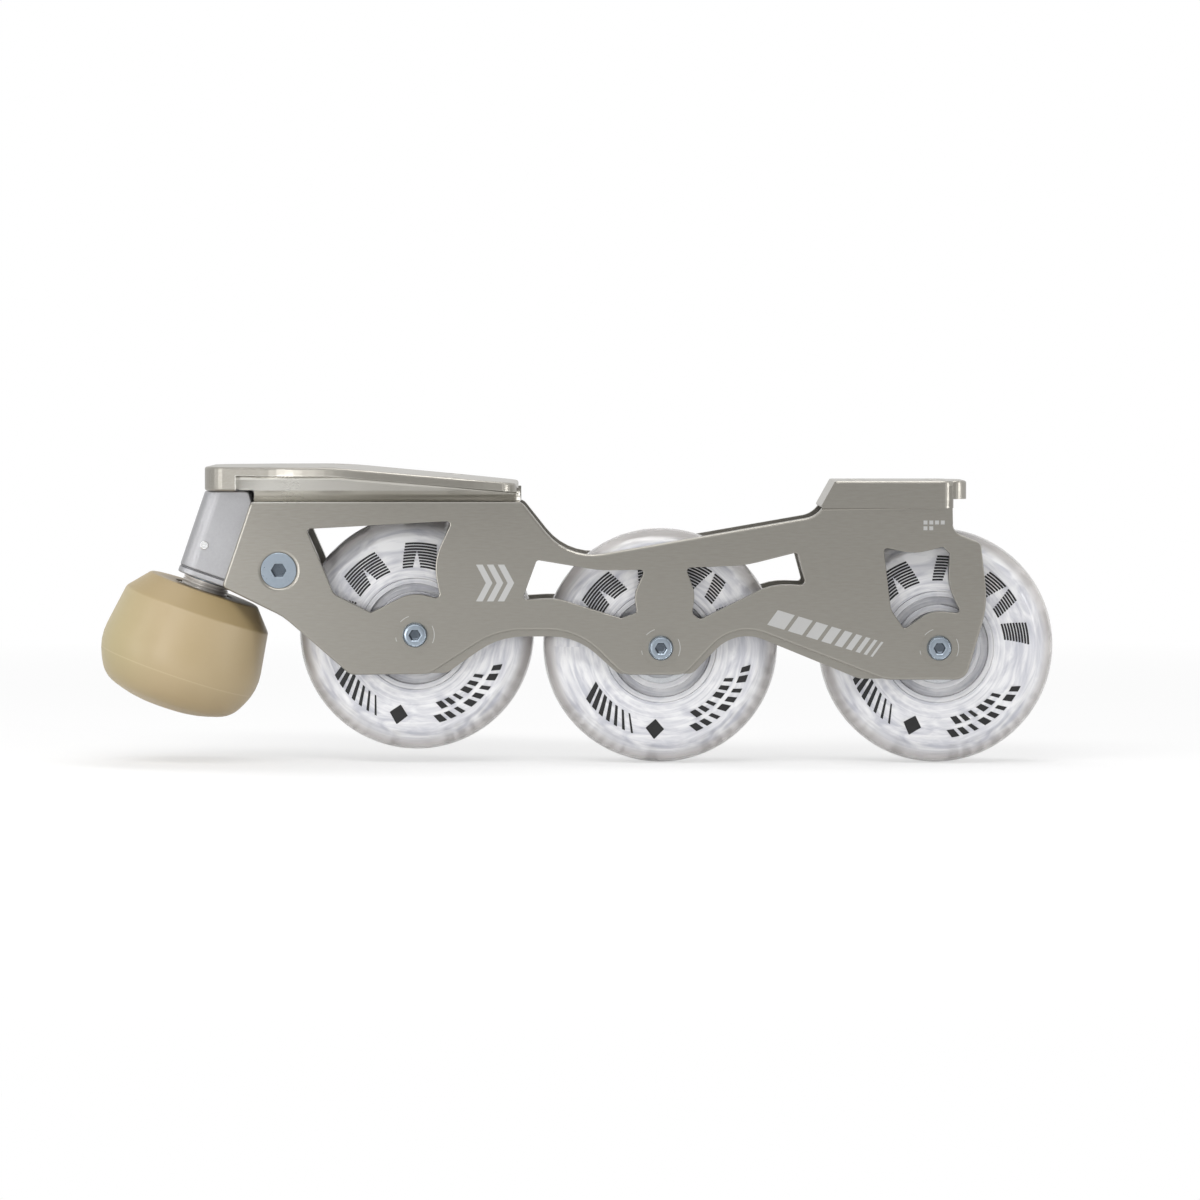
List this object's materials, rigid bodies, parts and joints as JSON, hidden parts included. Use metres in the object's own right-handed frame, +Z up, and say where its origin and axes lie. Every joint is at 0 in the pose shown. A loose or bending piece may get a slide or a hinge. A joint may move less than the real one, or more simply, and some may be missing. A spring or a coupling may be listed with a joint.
{
  "type": "inline figure skate frame",
  "caption": "One-piece metal inline frame with in-line clear wheels on ball bearings, a clamped adjustable toe stop, and sole and heel plates that screw to a figure skating boot.",
  "frame": {"origin": "middle of the flat front part of the sole plate's top face", "axes": "+X from toe to heel, +Y from the near wall to the far wall, +Z up, out of the sole plate"},
  "size_m": [0.2926, 0.0708, 0.0912],
  "materials": {
    "satin_aluminium": "satin champagne anodised",
    "plain_aluminium": "satin",
    "zinc_steel": "zinc plated",
    "tan_rubber": "matte",
    "clear_urethane": "clear gloss",
    "clear_hub": "clear gloss",
    "spacer_aluminium": "turned",
    "bearing_steel": "ground",
    "cage_nylon": "matte",
    "shield_rubber": "matte"
  },
  "bodies": {
    "frame": {"frame": "satin_aluminium", "toe_stop_block": "plain_aluminium", "clamp_bolt": "zinc_steel", "clamp_nut": "zinc_steel", "axle_screw_front": "zinc_steel", "axle_sleeve_front": "zinc_steel", "bearing_spacer_front": "spacer_aluminium", "axle_washers_front": "zinc_steel", "inner_races_front": "bearing_steel", "axle_screw_middle": "zinc_steel", "axle_sleeve_middle": "zinc_steel", "bearing_spacer_middle": "spacer_aluminium", "axle_washers_middle": "zinc_steel", "inner_races_middle": "bearing_steel", "axle_screw_rear": "zinc_steel", "axle_sleeve_rear": "zinc_steel", "bearing_spacer_rear": "spacer_aluminium", "axle_washers_rear": "zinc_steel", "inner_races_rear": "bearing_steel"},
    "toe_stop": {"toe_stop_rubber": "tan_rubber", "toe_stop_stem": "zinc_steel", "toe_stop_collar": "zinc_steel", "toe_stop_washer": "zinc_steel"},
    "wheel_front": {"tyre_front": "clear_urethane", "hub_front": "clear_hub", "outer_races_front": "bearing_steel", "bearing_shields_front": "shield_rubber"},
    "cage_front": {"bearing_balls_front": "bearing_steel", "ball_cages_front": "cage_nylon"},
    "wheel_middle": {"tyre_middle": "clear_urethane", "hub_middle": "clear_hub", "outer_races_middle": "bearing_steel", "bearing_shields_middle": "shield_rubber"},
    "cage_middle": {"bearing_balls_middle": "bearing_steel", "ball_cages_middle": "cage_nylon"},
    "wheel_rear": {"tyre_rear": "clear_urethane", "hub_rear": "clear_hub", "outer_races_rear": "bearing_steel", "bearing_shields_rear": "shield_rubber"},
    "cage_rear": {"bearing_balls_rear": "bearing_steel", "ball_cages_rear": "cage_nylon"}
  },
  "joints": [
    {"name": "wheel_front_spin", "type": "hinge", "parent": "frame", "child": "wheel_front", "pos_m": [0.0436, 0, -0.0512], "axis": [0, 1, 0], "continuous": true},
    {"name": "cage_front_spin", "type": "hinge", "parent": "frame", "child": "cage_front", "pos_m": [0.0436, 0, -0.0512], "axis": [0, 1, 0], "continuous": true},
    {"name": "wheel_middle_spin", "type": "hinge", "parent": "frame", "child": "wheel_middle", "pos_m": [0.1184, 0, -0.0552], "axis": [0, 1, 0], "continuous": true},
    {"name": "cage_middle_spin", "type": "hinge", "parent": "frame", "child": "cage_middle", "pos_m": [0.1184, 0, -0.0552], "axis": [0, 1, 0], "continuous": true},
    {"name": "wheel_rear_spin", "type": "hinge", "parent": "frame", "child": "wheel_rear", "pos_m": [0.2031, 0, -0.0552], "axis": [0, 1, 0], "continuous": true},
    {"name": "cage_rear_spin", "type": "hinge", "parent": "frame", "child": "cage_rear", "pos_m": [0.2031, 0, -0.0552], "axis": [0, 1, 0], "continuous": true},
    {"name": "toe_stop_adjust", "type": "slide", "parent": "frame", "child": "toe_stop", "axis": [-0.3256, 0, -0.9455], "range_m": [0, 0.008]}
  ],
  "couplings": [
    {"joint": "cage_front_spin", "follows": "wheel_front_spin", "ratio": 0.6323},
    {"joint": "cage_middle_spin", "follows": "wheel_middle_spin", "ratio": 0.6323},
    {"joint": "cage_rear_spin", "follows": "wheel_rear_spin", "ratio": 0.6323}
  ]
}
